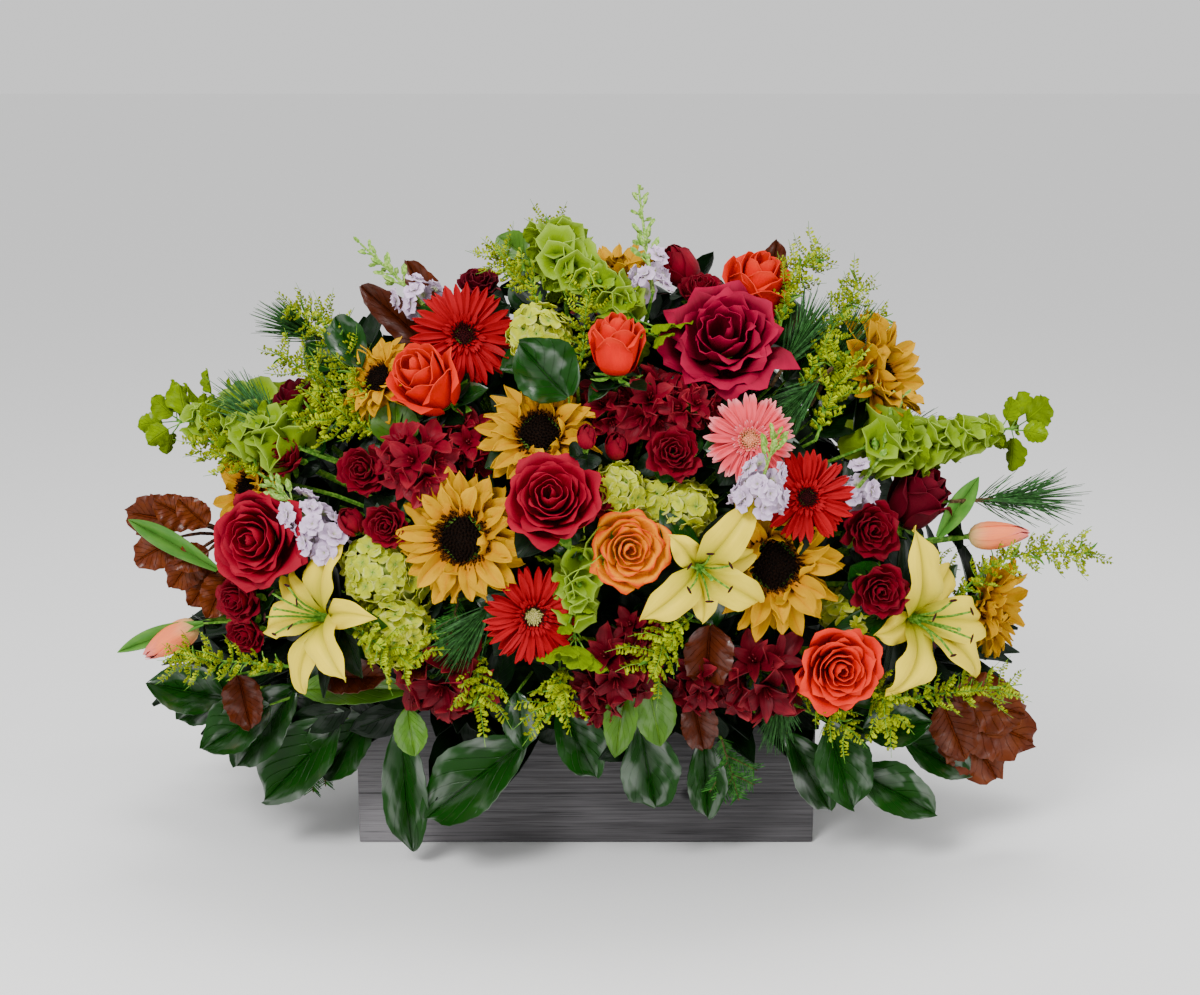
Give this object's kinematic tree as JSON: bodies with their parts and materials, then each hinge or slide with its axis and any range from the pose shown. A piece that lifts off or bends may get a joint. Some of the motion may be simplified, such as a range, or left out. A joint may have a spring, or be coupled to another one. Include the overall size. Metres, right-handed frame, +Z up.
{
  "type": "floral table centerpiece",
  "caption": "Lush table arrangement of sunflowers, roses, gerberas, lilies and mixed greenery spilling over a long weathered wooden planter box.",
  "frame": {"origin": "centre of the underside of the planter box, on the table", "axes": "+X along the box, -Y towards the front of the arrangement, +Z up"},
  "size_m": [0.8429, 0.4904, 0.5809],
  "materials": {
    "board": "weathered grey, unsealed",
    "liner": "satin",
    "foam": "dull, wet",
    "greenery": "waxy leaf, satin",
    "beech_leaf": "preserved leaf, satin",
    "sunflower": "matt petal",
    "rose_red": "matt petal",
    "rose_dark": "matt petal",
    "rose_coral": "matt petal",
    "rose_orange": "matt petal",
    "spray_rose": "matt petal",
    "gerbera_red": "matt petal",
    "gerbera_pink": "matt petal",
    "lily": "satin petal",
    "tulip": "satin petal",
    "hydrangea": "matt petal",
    "alstroemeria": "satin petal",
    "stock": "matt petal"
  },
  "bodies": {
    "root": {"alstroemeria_centre": "alstroemeria", "alstroemeria_low_left": "alstroemeria", "alstroemeria_low_middle": "alstroemeria", "alstroemeria_low_right": "alstroemeria", "alstroemeria_upper_left": "alstroemeria", "beech_left": "beech_leaf", "beech_right": "beech_leaf", "board_back": "board", "board_bottom": "board", "board_front": "board", "board_left": "board", "board_right": "board", "foam": "foam", "gerbera_low": "gerbera_red", "gerbera_pink": "gerbera_pink", "gerbera_right": "gerbera_red", "gerbera_top": "gerbera_red", "greenery": "greenery", "hydrangea_back": "hydrangea", "hydrangea_left": "hydrangea", "hydrangea_middle": "hydrangea", "hydrangea_right": "hydrangea", "hydrangea_top": "hydrangea", "lilies_back": "lily", "lily_left": "lily", "lily_middle": "lily", "lily_right": "lily", "liner": "liner", "rose_burgundy": "rose_dark", "rose_coral_bud": "rose_coral", "rose_coral_left": "rose_coral", "rose_coral_low": "rose_coral", "rose_coral_top": "rose_coral", "rose_crimson": "rose_red", "rose_dark_left": "rose_dark", "rose_dark_right": "rose_dark", "rose_dark_top": "rose_dark", "rose_orange": "rose_orange", "rose_red": "rose_red", "roses_back": "rose_red", "spray_roses_centre": "spray_rose", "spray_roses_left": "spray_rose", "spray_roses_low_left": "spray_rose", "spray_roses_right": "spray_rose", "spray_roses_top": "spray_rose", "stock_left": "stock", "stock_middle": "stock", "stock_right": "stock", "stock_top": "stock", "stock_top_left": "stock", "sunflower_far_right": "sunflower", "sunflower_left": "sunflower", "sunflower_right": "sunflower", "sunflower_top": "sunflower", "sunflower_upper_left": "sunflower", "sunflower_upper_right": "sunflower", "sunflowers_back": "sunflower", "sunflowers_centre": "sunflower", "tulip_left": "tulip", "tulip_right": "tulip"}
  },
  "joints": []
}
